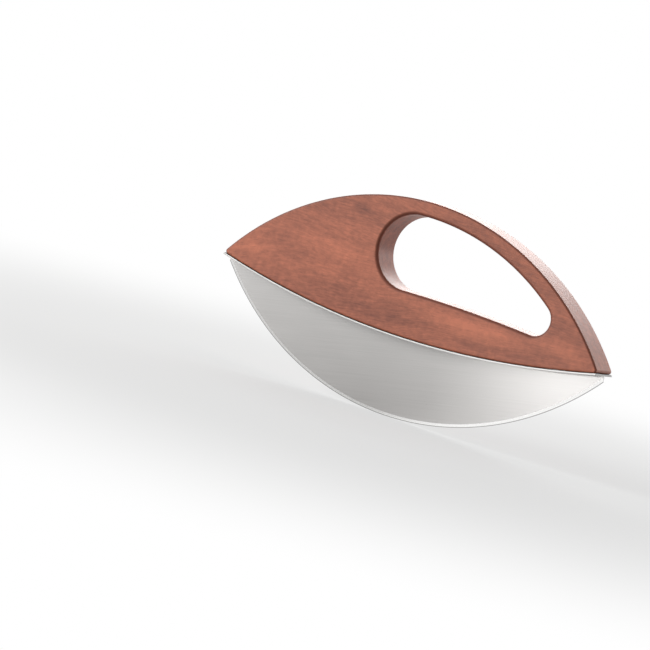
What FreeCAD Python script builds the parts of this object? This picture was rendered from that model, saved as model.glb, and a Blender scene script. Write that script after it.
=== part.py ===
# Rocking pizza knife: a curved steel blade under a wooden handle with a grip opening.
# X runs along the knife, Y through its thickness and Z up.
# The origin is the lowest point of the cutting edge.
import FreeCAD, Part
import math
import os

# Handle, a solid wooden almond
HANDLE_LENGTH = 310.0       # tip to tip
CROWN_RISE = 77.5           # crown above the line between the tips
BELLY_SAG = 18.5            # underside below the line between the tips
HANDLE_THICKNESS = 26.0
EDGE_ROUND = 1.5
TIP_FACE_ROUND = 0.5        # corner of the flat face at a tip, inside the edge rounding

# Grip opening through the handle
OPENING_LENGTH = 144.0
OPENING_END_MARGIN = 45.0   # wood between the opening's narrow end and the tip beyond it
WIDE_END_RADIUS = 26.9
WIDE_END_BAND = 10.7        # wood between the wide end and the crown
NARROW_END_RADIUS = 11.6
NARROW_END_BAND = 12.5      # wood between the narrow end and the crown
TOP_RADIUS = 179.0          # the opening's upper side
SILL_RADIUS = 1100.0        # the sill rises a little at its middle
OPENING_ROUND = 2.5

# Steel collar and the seal between it and the wood
STEEL_INSET = 1.0           # ends of the collar and the blade, short of the handle's sharp tips
COLLAR_THICKNESS = 1.2
COLLAR_ROUND = 0.35
SEAL_THICKNESS = 0.4        # room between the collar and the wood
SEAL_INSET = 0.4            # how far the seal's rim lies inside the handle's faces and the collar's ends
SEAL_CLEARANCE = 0.15       # between the seal and the wood

# Blade
BLADE_HEIGHT = 56.0         # cutting edge to collar at mid length
BLADE_END_HEIGHT = 4.2
BLADE_THICKNESS = 2.0
BEVEL_WIDTH = 2.4
EDGE_LAND = 0.2             # thickness left at the cutting edge

# Tang tabs that pass through the collar into mortises in the wood
TAB_COUNT = 3
TAB_LENGTH = 50.0
TAB_END_MARGIN = 35.0       # from a handle tip to the outermost tab
TANG_DEPTH = 14.0           # how far a tab stands in the wood
SLOT_CLEARANCE = 0.1
MORTISE_CLEARANCE = 0.2

# Countersunk wood screws through the collar, a row each side of the blade
SCREWS_PER_SIDE = 4
SCREW_END_MARGIN = 29.0     # from a handle tip to the outermost screw
SCREW_LENGTH = 14.0
SCREW_DIAMETER = 2.5
SCREW_HEAD_DIAMETER = 4.8
SCREW_POINT_LENGTH = 3.0
SCREW_CLEARANCE = 0.05
SCREW_SINK = 0.1            # head's face above the collar's underside
RECESS_SPAN = 2.6
RECESS_WIDTH = 0.6
RECESS_DEPTH = 0.8

TOLERANCE = 1e-4            # places closer than this are the same

# Heights at mid length, from the cutting edge up
collar_z = BLADE_HEIGHT
belly_z = collar_z + COLLAR_THICKNESS + SEAL_THICKNESS
tip_z = belly_z + BELLY_SAG
crown_z = tip_z + CROWN_RISE
half_length = HANDLE_LENGTH / 2


def arc_radius(half_chord, sagitta):
    return (half_chord ** 2 + sagitta ** 2) / (2 * sagitta)


# The belly's circle: the underside, the seal, the collar and the blade's shoulder are concentric
belly_radius = arc_radius(half_length, BELLY_SAG)
belly_centre_z = belly_z + belly_radius
belly_half_angle = math.asin(half_length / belly_radius)
seal_radius = belly_radius + SEAL_THICKNESS
shoulder_radius = seal_radius + COLLAR_THICKNESS
steel_half_angle = belly_half_angle - STEEL_INSET / shoulder_radius

# The crown's circle
crown_radius = arc_radius(half_length, CROWN_RISE)
crown_centre_z = crown_z - crown_radius


def at(x, z, y=0.0):
    return FreeCAD.Vector(x, y, z)


def on_belly(radius, angle):
    """Point at a radius and an angle from straight down, about the belly's centre."""
    return at(radius * math.sin(angle), belly_centre_z - radius * math.cos(angle))


def arc(start, middle, end):
    return Part.Arc(start, middle, end).toShape()


def plate(edges, thickness):
    """Outline in the XZ plane, thickened evenly to both sides of Y = 0."""
    face = Part.Face(Part.Wire(Part.__sortEdges__(edges)))
    face.translate(at(0, 0, -thickness / 2))
    return face.extrude(at(0, 0, thickness))


def belly_band(inner, outer, half_angle, thickness):
    """Curved strip between two radii about the belly's centre."""
    edges = [
        arc(on_belly(inner, -half_angle), on_belly(inner, 0), on_belly(inner, half_angle)),
        Part.makeLine(on_belly(inner, half_angle), on_belly(outer, half_angle)),
        arc(on_belly(outer, half_angle), on_belly(outer, 0), on_belly(outer, -half_angle)),
        Part.makeLine(on_belly(outer, -half_angle), on_belly(inner, -half_angle)),
    ]
    return plate(edges, thickness)


def cut_each(body, tools):
    """Body less each tool, with a tolerance that keeps cuts across the belly's large circles sound."""
    for tool in tools:
        body = body.cut([tool], TOLERANCE)
    return body


def spread(count, reach):
    """Evenly spaced places from -reach to +reach."""
    return [reach * (2 * i / (count - 1) - 1) for i in range(count)]


# Tang tabs, also used as cutting tools with a clearance
tab_places = spread(TAB_COUNT, half_length - TAB_END_MARGIN - TAB_LENGTH / 2)


def tang_tabs(clearance, root):
    """Upright tabs whose tops follow the belly, from the tang's depth down to a root radius."""
    top = belly_radius - TANG_DEPTH - clearance
    length = TAB_LENGTH + 2 * clearance
    width = BLADE_THICKNESS + 2 * clearance
    band = belly_band(top, root, belly_half_angle, width)
    columns = [Part.makeBox(length, width, crown_z, at(x - length / 2, 0, -width / 2)) for x in tab_places]
    return [band.common(column) for column in columns]


# Screws, also used as cutting tools with a clearance
screw_y = (BLADE_THICKNESS + HANDLE_THICKNESS) / 4
screw_places = spread(SCREWS_PER_SIDE, half_length - SCREW_END_MARGIN)
head_height = (SCREW_HEAD_DIAMETER - SCREW_DIAMETER) / 2


def screw_blank(grow, mouth):
    """Countersunk screw along +Z, its head's face at Z = 0, grown all over, with a mouth below the head."""
    shank = SCREW_DIAMETER / 2 + grow
    head = SCREW_HEAD_DIAMETER / 2 + grow
    straight = SCREW_LENGTH - head_height - SCREW_POINT_LENGTH
    up = FreeCAD.Vector(0, 0, 1)
    blank = Part.makeCone(head, shank, head_height, at(0, 0), up)
    blank = blank.fuse(Part.makeCylinder(shank, straight, at(0, head_height), up))
    point = Part.makeCone(shank, grow, SCREW_POINT_LENGTH + grow, at(0, head_height + straight), up)
    blank = blank.fuse(point)
    if mouth:
        blank = blank.fuse(Part.makeCylinder(head, mouth, at(0, -mouth), up))
    return blank.removeSplitter()


def screw():
    blank = screw_blank(0.0, 0.0)
    for turn in (0, 90):
        corner = at(-RECESS_SPAN / 2, 0, -RECESS_WIDTH / 2)
        slot = Part.makeBox(RECESS_SPAN, RECESS_WIDTH, RECESS_DEPTH, corner)
        slot.rotate(at(0, 0), FreeCAD.Vector(0, 0, 1), turn)
        blank = blank.cut(slot)
    return blank


def in_screw_places(shape):
    """Copies of a screw shape, square to the collar, at every screw's place."""
    copies = []
    for side in (-1, 1):
        for x in screw_places:
            angle = math.asin(x / shoulder_radius)
            copy = shape.copy()
            copy.rotate(at(0, 0), FreeCAD.Vector(0, 1, 0), -math.degrees(angle))
            copy.translate(on_belly(shoulder_radius - SCREW_SINK, angle) + at(0, 0, side * screw_y))
            copies.append(copy)
    return copies


screw_cavities = in_screw_places(screw_blank(SCREW_CLEARANCE, COLLAR_THICKNESS))


def below(a, reach_a, b, reach_b):
    """Point under the line from a to b, at a given reach from each."""
    along = b - a
    span = along.Length
    along.normalize()
    down = at(along.z, -along.x)
    share = (reach_a ** 2 - reach_b ** 2 + span ** 2) / (2 * span)
    return a + along * share + down * math.sqrt(reach_a ** 2 - share ** 2)


def towards(hub, radius, place):
    return hub + (place - hub).normalize() * radius


def opening_edges():
    """Teardrop: a wide and a narrow round end, and two arcs tangent to both, along the crown and the sill."""

    def end_centre(x, depth):
        return at(x, crown_centre_z + math.sqrt((crown_radius - depth) ** 2 - x ** 2))

    narrow_x = half_length - OPENING_END_MARGIN - NARROW_END_RADIUS
    wide_x = half_length - OPENING_END_MARGIN - OPENING_LENGTH + WIDE_END_RADIUS
    wide = end_centre(wide_x, WIDE_END_BAND + WIDE_END_RADIUS)
    narrow = end_centre(narrow_x, NARROW_END_BAND + NARROW_END_RADIUS)
    middle = (wide + narrow) / 2
    places = (wide, middle, narrow)
    top_hub = below(wide, TOP_RADIUS - WIDE_END_RADIUS, narrow, TOP_RADIUS - NARROW_END_RADIUS)
    sill_hub = below(wide, SILL_RADIUS + WIDE_END_RADIUS, narrow, SILL_RADIUS + NARROW_END_RADIUS)
    wide_top, top, narrow_top = [towards(top_hub, TOP_RADIUS, place) for place in places]
    wide_sill, sill, narrow_sill = [towards(sill_hub, SILL_RADIUS, place) for place in places]
    return [
        arc(wide_top, top, narrow_top),
        arc(narrow_top, narrow + at(NARROW_END_RADIUS, 0), narrow_sill),
        arc(narrow_sill, sill, wide_sill),
        arc(wide_sill, wide - at(WIDE_END_RADIUS, 0), wide_top),
    ]


def middle_of(edge):
    return edge.valueAt((edge.FirstParameter + edge.LastParameter) / 2)


def face_edges(shape):
    """Edges that lie in the handle's front or back face."""
    side = HANDLE_THICKNESS / 2
    return [edge for edge in shape.Edges
            if edge.BoundBox.YLength < TOLERANCE and abs(abs(middle_of(edge).y) - side) < TOLERANCE]


def edges_along(edges, outline):
    """Edges whose middles lie on an outline, seen along Y."""
    places = [(edge, middle_of(edge)) for edge in edges]
    return [edge for edge, place in places
            if outline.distToShape(Part.Vertex(at(place.x, place.z)))[0] < TOLERANCE]


def wooden_handle():
    left = at(-half_length, tip_z)
    right = at(half_length, tip_z)
    body = plate([arc(left, at(0, crown_z), right), arc(right, at(0, belly_z), left)], HANDLE_THICKNESS)
    tips = [edge for edge in body.Edges if edge.BoundBox.XLength < TOLERANCE]
    body = body.makeFillet(TIP_FACE_ROUND + EDGE_ROUND, tips)
    body = body.makeFillet(EDGE_ROUND, face_edges(body))
    opening = opening_edges()
    body = body.cut(plate(opening, 2 * HANDLE_THICKNESS))
    body = body.makeFillet(OPENING_ROUND, edges_along(face_edges(body), Part.Wire(opening)))
    return cut_each(body, tang_tabs(MORTISE_CLEARANCE, shoulder_radius) + screw_cavities)


def collar():
    strip = belly_band(seal_radius, shoulder_radius, steel_half_angle, HANDLE_THICKNESS)
    underside = arc(*[on_belly(shoulder_radius, turn * steel_half_angle) for turn in (-1, 0, 1)])
    strip = strip.makeFillet(COLLAR_ROUND, edges_along(face_edges(strip), underside))
    return cut_each(strip, tang_tabs(SLOT_CLEARANCE, shoulder_radius + BLADE_THICKNESS) + screw_cavities)


def collar_seal():
    inset_angle = steel_half_angle - SEAL_INSET / belly_radius
    width = HANDLE_THICKNESS - 2 * SEAL_INSET
    strip = belly_band(belly_radius + SEAL_CLEARANCE, seal_radius, inset_angle, width)
    punch = Part.makeCylinder(SCREW_HEAD_DIAMETER / 2 + SCREW_CLEARANCE, SCREW_LENGTH)
    return cut_each(strip, tang_tabs(MORTISE_CLEARANCE, shoulder_radius) + in_screw_places(punch))


def blade():
    """Crescent whose edge is bevelled on both sides, as on a disc about the edge's centre."""
    corner = on_belly(shoulder_radius + BLADE_END_HEIGHT, steel_half_angle)
    edge_radius = arc_radius(corner.x, corner.z)
    bevel_radius = edge_radius - BEVEL_WIDTH
    side = BLADE_THICKNESS / 2
    land = EDGE_LAND / 2
    section = [(0, -side), (bevel_radius, -side), (edge_radius, -land),
               (edge_radius, land), (bevel_radius, side), (0, side), (0, -side)]
    ground = Part.Face(Part.makePolygon([at(radius, edge_radius, y) for radius, y in section]))
    disc = ground.revolve(at(0, edge_radius), FreeCAD.Vector(0, 1, 0), 360)
    blank = belly_band(shoulder_radius, shoulder_radius + collar_z, steel_half_angle, BLADE_THICKNESS)
    body = blank.common(disc)
    for tab in tang_tabs(0.0, shoulder_radius + BLADE_END_HEIGHT / 2):
        body = body.fuse(tab)
    return body.removeSplitter()


def collar_screws():
    return Part.makeCompound(in_screw_places(screw()))


os.makedirs("parts", exist_ok=True)
pieces = {
    "wooden_handle": wooden_handle(),
    "blade": blade(),
    "collar": collar(),
    "collar_seal": collar_seal(),
    "collar_screws": collar_screws(),
}
for name, shape in pieces.items():
    shape.exportStep("parts/" + name + ".step")
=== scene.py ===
import math
from collections import namedtuple

import bmesh
import bpy
from bpy.props import FloatProperty, FloatVectorProperty, IntProperty, PointerProperty
from mathutils import Matrix, Vector


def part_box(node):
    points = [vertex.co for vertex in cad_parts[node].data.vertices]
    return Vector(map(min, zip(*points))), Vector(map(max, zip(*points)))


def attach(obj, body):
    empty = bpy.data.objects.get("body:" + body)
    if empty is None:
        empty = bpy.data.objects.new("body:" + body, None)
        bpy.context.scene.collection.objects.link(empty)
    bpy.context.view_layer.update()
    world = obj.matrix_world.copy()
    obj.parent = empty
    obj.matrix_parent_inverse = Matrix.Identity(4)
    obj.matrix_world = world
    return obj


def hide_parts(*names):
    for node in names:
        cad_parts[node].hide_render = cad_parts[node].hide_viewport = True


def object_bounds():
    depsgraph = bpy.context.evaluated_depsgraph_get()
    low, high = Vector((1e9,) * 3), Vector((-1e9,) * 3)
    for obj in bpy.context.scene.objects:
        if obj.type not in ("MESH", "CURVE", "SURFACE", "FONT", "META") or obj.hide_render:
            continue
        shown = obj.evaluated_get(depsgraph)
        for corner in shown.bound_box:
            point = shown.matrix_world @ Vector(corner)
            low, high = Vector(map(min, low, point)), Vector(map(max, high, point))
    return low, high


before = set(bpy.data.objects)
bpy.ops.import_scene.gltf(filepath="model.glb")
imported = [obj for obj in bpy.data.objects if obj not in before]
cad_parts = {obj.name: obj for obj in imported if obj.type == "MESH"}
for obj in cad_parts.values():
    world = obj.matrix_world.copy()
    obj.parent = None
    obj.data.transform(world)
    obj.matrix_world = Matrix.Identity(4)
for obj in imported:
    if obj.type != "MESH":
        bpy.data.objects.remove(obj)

# Dresses a rocking pizza knife: handle, bevelled blade, collar, seal and screws, in a plain studio.
# Lengths are metres. X runs along the knife, Y through its thickness, Z up from the cutting edge.
bl_info = {
    "name": "Rocking pizza knife",
    "version": (1, 0, 0),
    "blender": (4, 5, 0),
    "location": "3D View > Sidebar > Knife",
    "description": "Models a rocking pizza knife, and sets up its finishes and studio",
    "category": "Object",
}

CAD_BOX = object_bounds()
WOOD_LOW, WOOD_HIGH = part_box("wooden_handle")
BLADE_LOW, BLADE_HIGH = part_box("blade")
COLLAR_LOW, COLLAR_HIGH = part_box("collar")
BODY = "root"
BRUSH_MAP = "brush_lines"           # UV map whose U runs along the brushing of the blade
# The edge nearness masks the painted dark reflection along the cutting edge
EDGE_NEARNESS = "edge_nearness"     # 0 where the bevel starts, 1 at the cutting edge
# The edge rounding also masks the painted shade on the wood's rounded edges
EDGE_ROUNDING = "edge_rounding"     # 0 on the wood's faces and walls, 1 halfway round an edge
FULL_TURN = 2 * math.pi
SAME_PLACE = 1e-6                   # corners closer than this are one
WHITE = (1.0, 1.0, 1.0, 1.0)
IMAGE_SIDE = 650                    # the picture is square


# Settings
def length(name, description, default):
    return FloatProperty(name=name, description=description, default=default, min=0.0, precision=5,
                         subtype="DISTANCE", unit="LENGTH")


def rotation(name, description, degrees):
    return FloatProperty(name=name, description=description, default=math.radians(degrees),
                         subtype="ANGLE", unit="ROTATION")


def power(name, description, default):
    return FloatProperty(name=name, description=description, default=default, min=0.0, unit="POWER")


def share(name, description, default):
    return FloatProperty(name=name, description=description, default=default, min=0.0, max=1.0,
                         subtype="FACTOR")


def colour(name, description, default):
    return FloatVectorProperty(name=name, description=description, default=default, size=3,
                               min=0.0, max=1.0, subtype="COLOR")


def whole(name, description, default, least):
    return IntProperty(name=name, description=description, default=default, min=least)


class KnifeHandleSizes(bpy.types.PropertyGroup):
    length: length("Length", "Tip to tip, before the tips are rounded", 0.310)
    crown_rise: length("Crown rise", "Crown above the line between the tips", 0.0775)
    belly_sag: length("Belly sag", "Underside below the line between the tips", 0.0185)
    belly_height: length("Belly height", "Underside at mid length, above the cutting edge",
                         WOOD_LOW.z)
    thickness: length("Thickness", "Front face to back face", WOOD_HIGH.y - WOOD_LOW.y)
    edge_round: length("Edge rounding", "Radius between the faces and the rim", 0.0015)
    tip_round: length("Tip rounding", "Radius of a tip, seen from the front", 0.002)
    opening_length: length("Opening length", "Grip opening, end to end", 0.144)
    opening_margin: length("Opening margin", "Wood between the narrow end and the tip beyond it",
                           0.045)
    wide_radius: length("Wide end radius", "Round end of the opening near mid length", 0.0269)
    wide_band: length("Wide end band", "Wood between the wide end and the crown", 0.0107)
    narrow_radius: length("Narrow end radius", "Round end of the opening near the tip", 0.0116)
    narrow_band: length("Narrow end band", "Wood between the narrow end and the crown", 0.0125)
    top_radius: length("Top radius", "Arc of the opening's upper side", 0.179)
    sill_radius: length("Sill radius", "Arc of the lower side, which rises at its middle", 1.1)
    opening_round: length("Opening rounding", "Radius between the faces and the opening's wall",
                          0.0025)
    outline_step: length("Outline step", "Longest step along an outline", 0.0014)
    round_steps: whole("Rounding steps", "Steps across a rounded edge", 10, 2)


class KnifeBladeSizes(bpy.types.PropertyGroup):
    height: length("Height", "Cutting edge to collar at mid length", COLLAR_LOW.z)
    end_height: length("End height", "Height of a square end", 0.0042)
    end_inset: length("End inset", "Ends of the blade, short of the handle's sharp tips", 0.001)
    thickness: length("Thickness", "Front to back", BLADE_HIGH.y - BLADE_LOW.y)
    bevel_width: length("Bevel width", "Ground band along the cutting edge", 0.0024)
    edge_land: length("Edge land", "Thickness left at the cutting edge", 0.0002)
    brush_rise: rotation("Brush rise", "Slant of the brushing against the length of the knife", 11)
    stations: whole("Stations", "Sections along the blade", 260, 8)


class KnifeScrewSizes(bpy.types.PropertyGroup):
    per_side: whole("Screws per side", "Screws in front of and behind the blade", 4, 2)
    end_margin: length("End margin", "Handle tip to the outermost screw", 0.029)
    length: length("Length", "Head's face to point", 0.014)
    diameter: length("Diameter", "Shank", 0.0025)
    head_diameter: length("Head diameter", "Countersunk head", 0.0048)
    head_rim: length("Head rim", "Upright rim of the head", 0.00015)
    point_length: length("Point length", "Tapered point", 0.003)
    sink: length("Sink", "Head's face above the collar's underside", 0.0001)
    recess_span: length("Recess span", "Cross recess, end to end", 0.0026)
    recess_width: length("Recess width", "One bar of the cross recess", 0.0006)
    recess_depth: length("Recess depth", "Cross recess", 0.0008)
    sides: whole("Sides", "Facets round a screw", 48, 8)


class KnifeFinishes(bpy.types.PropertyGroup):
    wood: colour("Wood", "Main colour of the oiled wood", (0.390, 0.125, 0.072))
    wood_light: colour("Light wood", "Paler grain", (0.660, 0.212, 0.118))
    wood_dark: colour("Dark wood", "Darker grain", (0.215, 0.068, 0.043))
    wood_vein: colour("Vein", "Dark veins and pores", (0.082, 0.032, 0.026))
    # Painted shade: colour that darkens the wood's rounded edges where the light falls off round
    # them
    wood_edge: colour("Wood edges", "Rounded edges, darkened by oil", (0.120, 0.030, 0.016))
    wood_roughness: share("Wood roughness", "Mean roughness of the oiled wood", 0.42)
    wood_coat: share("Wood coat", "Film of hardened oil", 0.06)
    blade_steel: colour("Blade steel", "Satin sides of the blade", (0.405, 0.396, 0.388))
    blade_roughness: share("Blade roughness", "Mean roughness of the satin sides", 0.30)
    bevel_steel: colour("Bevel steel", "Freshly ground bevel", (0.97, 0.965, 0.955))
    bevel_roughness: share("Bevel roughness", "Mean roughness of the bevel", 0.26)
    # Painted dark reflection: a thin darker line along the cutting edge
    honed_steel: colour("Honed edge", "Thin dark line along the cutting edge", (0.36, 0.355, 0.35))
    collar_steel: colour("Collar steel", "Collar between wood and blade", (0.54, 0.53, 0.52))
    collar_roughness: share("Collar roughness", "Mean roughness of the collar", 0.42)
    # Painted shade on the collar's two ends
    collar_end: colour("Collar ends", "Cut ends of the collar", (0.30, 0.295, 0.29))
    screw_steel: colour("Screw steel", "Plain stainless screws", (0.58, 0.58, 0.57))
    screw_roughness: share("Screw roughness", "Mean roughness of the screws", 0.32)
    # The seal's near-black colour is partly its own and partly painted shade under the wood's lower
    # edge
    seal: colour("Seal", "Dark seal above the collar", (0.022, 0.017, 0.014))


class KnifeStudio(bpy.types.PropertyGroup):
    floor: colour("Floor", "Pale floor", (0.60, 0.60, 0.595))
    floor_size: length("Floor size", "Side of the floor", 24.0)
    floor_glow: share("Floor glow", "White share of the lit floor that the camera sees", 0.56)
    mirror_left: share("Left floor in metal", "White share that metal shows, on the left", 0.15)
    mirror_right: share("Right floor in metal", "White share that metal shows, on the right", 0.95)
    fade_start: length("Fade start", "Knife's middle to where the floor starts to whiten", 0.25)
    fade_end: length("Fade end", "Knife's middle to where the floor is all white", 0.75)
    ambient: share("Ambient", "Even light from all round", 0.19)
    key_power: power("Key lamp", "Soft lamp to the left, a little in front", 38.0)
    top_power: power("Top lamp", "Soft lamp overhead", 5.0)
    back_power: power("Back lamp", "Wide soft lamp behind the knife, to the left", 11.0)
    fill_power: power("Fill lamp", "Weaker lamp right behind the knife", 2.2)
    side_power: power("Side lamp", "Weak lamp behind the knife, to the right", 1.1)
    strip_power: power("Strip lamp", "Narrow lamp in front, which the blade shows at its right",
                       0.195)
    azimuth: rotation("Azimuth", "Camera round the knife from the front, to the right", 29.1285)
    elevation: rotation("Elevation", "Camera above the horizon", 4.8361)
    roll: rotation("Roll", "Turn of the picture, as if the knife was rocked over", 15.7797)
    distance: length("Distance", "Camera to the point that it looks at", 2.2422)
    aim: FloatVectorProperty(name="Aim", description="Point that the camera looks at", size=3,
                             default=(-0.04846, -0.02952, 0.05017),
                             subtype="TRANSLATION", unit="LENGTH")
    focal_pixels: FloatProperty(name="Focal length", default=3194.1, min=1.0,
                                description="Focal length in pixels of the picture")


# Outlines: arcs in the XZ plane, walked clockwise as seen from the front.
# An angle is measured from straight up. The normal points out of the wood, so it points away from
# the arc's hub or towards it.
Arc = namedtuple("Arc", "hub radius start end outwards")
RIGHT = 1                           # side of the way from one point to another
MOST_TURN = math.radians(5)         # largest turn in one step along an arc
UNDERSIDE = -0.9                    # upward part of a normal, below which a wall is an underside


def direction(angle):
    return Vector((math.sin(angle), math.cos(angle)))


def angle_of(vector):
    return math.atan2(vector.x, vector.y)


def arc_radius(half_chord, rise):
    return (half_chord ** 2 + rise ** 2) / (2 * rise)


def meeting(a, reach_a, b, reach_b, side):
    """Point at a given reach from a and from b, on one side of the way from a to b."""
    along = b - a
    span = along.length
    along.normalize()
    part = (reach_a ** 2 - reach_b ** 2 + span ** 2) / (2 * span)
    across = Vector((along.y, -along.x))
    return a + along * part + across * side * math.sqrt(reach_a ** 2 - part ** 2)


def walk(arcs, step):
    """Points of an outline with their normals, evenly spaced on each arc."""
    points = []
    for arc in arcs:
        turn = arc.end - arc.start
        count = math.ceil(max(abs(turn) * arc.radius / step, abs(turn) / MOST_TURN))
        for i in range(count):
            out = direction(arc.start + turn * i / count)
            points.append((arc.hub + out * arc.radius, out if arc.outwards else -out))
    return points


class HandleCurves:
    """The circles that the handle, the collar and the blade share."""

    def __init__(self, sizes):
        half = sizes.length / 2
        tip_z = sizes.belly_height + sizes.belly_sag
        self.crown_radius = arc_radius(half, sizes.crown_rise)
        self.crown_hub = Vector((0, tip_z + sizes.crown_rise - self.crown_radius))
        self.belly_radius = arc_radius(half, sizes.belly_sag)
        self.belly_hub = Vector((0, sizes.belly_height + self.belly_radius))
        self.half_angle = math.asin(half / self.belly_radius)


def handle_outline(sizes):
    """Almond of a crown and a belly with rounded tips."""
    curves = HandleCurves(sizes)
    tip = meeting(curves.crown_hub, curves.crown_radius - sizes.tip_round,
                  curves.belly_hub, curves.belly_radius - sizes.tip_round, RIGHT)
    crown_end = angle_of(tip - curves.crown_hub)
    belly_end = angle_of(tip - curves.belly_hub)
    other_tip = Vector((-tip.x, tip.y))
    return [
        Arc(curves.crown_hub, curves.crown_radius, -crown_end, crown_end, True),
        Arc(tip, sizes.tip_round, crown_end, belly_end, True),
        Arc(curves.belly_hub, curves.belly_radius, belly_end, FULL_TURN - belly_end, True),
        Arc(other_tip, sizes.tip_round, FULL_TURN - belly_end, FULL_TURN - crown_end, True),
    ]


def opening_outline(sizes):
    """Teardrop of a wide and a narrow round end, and two arcs tangent to both."""
    curves = HandleCurves(sizes)

    def end_hub(x, depth):
        reach = curves.crown_radius - depth
        return Vector((x, curves.crown_hub.y + math.sqrt(reach ** 2 - x ** 2)))

    last_x = sizes.length / 2 - sizes.opening_margin
    wide = end_hub(last_x - sizes.opening_length + sizes.wide_radius,
                   sizes.wide_band + sizes.wide_radius)
    narrow = end_hub(last_x - sizes.narrow_radius, sizes.narrow_band + sizes.narrow_radius)
    top = meeting(wide, sizes.top_radius - sizes.wide_radius,
                  narrow, sizes.top_radius - sizes.narrow_radius, RIGHT)
    sill = meeting(wide, sizes.sill_radius + sizes.wide_radius,
                   narrow, sizes.sill_radius + sizes.narrow_radius, RIGHT)
    wide_top, narrow_top = angle_of(wide - top), angle_of(narrow - top)
    wide_sill, narrow_sill = (angle_of(sill - end) % FULL_TURN for end in (wide, narrow))
    return [
        Arc(top, sizes.top_radius, wide_top, narrow_top, False),
        Arc(narrow, sizes.narrow_radius, narrow_top, narrow_sill, False),
        Arc(sill, sizes.sill_radius, angle_of(narrow - sill), angle_of(wide - sill), True),
        Arc(wide, sizes.wide_radius, wide_sill, wide_top + FULL_TURN, False),
    ]


class RoundedPlate:
    """Mesh of a flat plate whose outlines have rounded edges, with true normals."""

    def __init__(self, thickness, round_steps):
        self.half = thickness / 2
        self.steps = round_steps
        self.mesh = bmesh.new()
        self.normals = []
        self.rounding = []
        self.rims = {-1: [], 1: []}

    def section(self, radius):
        """Inset, place in Y, turn of the normal and side, from the front face to the back face."""
        for side in (-1, 1):
            for i in range(self.steps + 1):
                turn = math.pi / 2 * (i if side < 0 else self.steps - i) / self.steps
                inset = radius * (1 - math.sin(turn))
                yield inset, side * (self.half - radius * (1 - math.cos(turn))), turn, side

    def add_wall(self, points, radius, seated=False):
        """Wall along an outline, with both its edges rounded. A seated one has no mark of rounding
        on its underside, so neither the painted edge shade nor the duller edge reaches it there."""
        rings = []
        for inset, y, turn, side in self.section(radius):
            ring = []
            for place, out in points:
                spot = place - out * inset
                ring.append(self.mesh.verts.new((spot.x, y, spot.y)))
                flat = out * math.sin(turn)
                self.normals.append((flat.x, side * math.cos(turn), flat.y))
                plain = seated and out.y < UNDERSIDE
                self.rounding.append(0.0 if plain else math.sin(2 * turn))
            rings.append(ring)
        count = len(points)
        for lower, upper in zip(rings, rings[1:]):
            for i in range(count):
                j = (i + 1) % count
                self.mesh.faces.new((lower[i], lower[j], upper[j], upper[i]))
        for side, ring in ((-1, rings[0]), (1, rings[-1])):
            self.rims[side] += [self.mesh.edges.get((ring[i], ring[(i + 1) % count]))
                                for i in range(count)]

    def finish(self, name):
        """Closes the two faces and gives the mesh."""
        for side, rim in self.rims.items():
            bmesh.ops.triangle_fill(self.mesh, use_beauty=True, edges=rim, normal=(0, side, 0))
        bmesh.ops.recalc_face_normals(self.mesh, faces=self.mesh.faces[:])
        mesh = bpy.data.meshes.new(name)
        self.mesh.to_mesh(mesh)
        self.mesh.free()
        mesh.shade_smooth()
        mesh.normals_split_custom_set_from_vertices(self.normals)
        marks = mesh.attributes.new(EDGE_ROUNDING, "FLOAT", "POINT")
        marks.data.foreach_set("value", self.rounding)
        return mesh


def place_piece(mesh, node):
    """Puts a finished mesh in the scene as the piece that stands for a node."""
    piece = bpy.data.objects.new(mesh.name, mesh)
    bpy.context.scene.collection.objects.link(piece)
    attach(piece, BODY)
    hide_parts(node)
    return piece


def dress_node(node, material):
    """Gives a node of the frame a better material."""
    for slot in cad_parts[node].material_slots:
        slot.material = material


# Node trees
FLOAT, INTEGER, VECTOR = "NodeSocketFloat", "NodeSocketInt", "NodeSocketVector"
GEOMETRY, MATERIAL, OBJECT = "NodeSocketGeometry", "NodeSocketMaterial", "NodeSocketObject"
MIX_FACTOR, MIX_A, MIX_B, MIX_RESULT = 0, 6, 7, 2   # the Mix node's sockets for colours


def add(tree, kind, inputs=None, **settings):
    """New node with its settings, and its inputs set from values or linked from sockets."""
    node = tree.nodes.new(kind)
    for name, value in settings.items():
        setattr(node, name, value)
    for name, value in (inputs or {}).items():
        if isinstance(value, bpy.types.NodeSocket):
            tree.links.new(value, node.inputs[name])
        else:
            node.inputs[name].default_value = value
    return node


def maths(tree, operation, a, b=0.0, c=0.0):
    """Result of a Math node."""
    return add(tree, "ShaderNodeMath", {0: a, 1: b, 2: c}, operation=operation).outputs[0]


def vectors(tree, operation, a, b):
    """Result of a Vector Math node."""
    node = add(tree, "ShaderNodeVectorMath", {0: a, 1: b}, operation=operation)
    return node.outputs["Vector"]


def size_of(tree, vector):
    node = add(tree, "ShaderNodeVectorMath", {0: vector}, operation="LENGTH")
    return node.outputs["Value"]


def remap(tree, value, low, high, new_low, new_high, smooth=False):
    """Value carried from one range to another and kept inside it."""
    inputs = {"Value": value, "From Min": low, "From Max": high,
              "To Min": new_low, "To Max": new_high}
    kind = "SMOOTHSTEP" if smooth else "LINEAR"
    return add(tree, "ShaderNodeMapRange", inputs, interpolation_type=kind).outputs["Result"]


def noise(tree, vector, detail, roughness=0.55, output="Fac"):
    inputs = {"Vector": vector, "Scale": 1.0, "Detail": detail, "Roughness": roughness}
    return add(tree, "ShaderNodeTexNoise", inputs).outputs[output]


def mixed(tree, factor, a, b):
    """Colour between two colours."""
    inputs = {MIX_FACTOR: factor, MIX_A: a, MIX_B: b}
    return add(tree, "ShaderNodeMix", inputs, data_type="RGBA").outputs[MIX_RESULT]


def opaque(colour_value):
    return (*colour_value, 1.0)


def object_place(tree):
    return add(tree, "ShaderNodeTexCoord").outputs["Object"]


def axes_of(tree, vector):
    return add(tree, "ShaderNodeSeparateXYZ", {0: vector}).outputs


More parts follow.
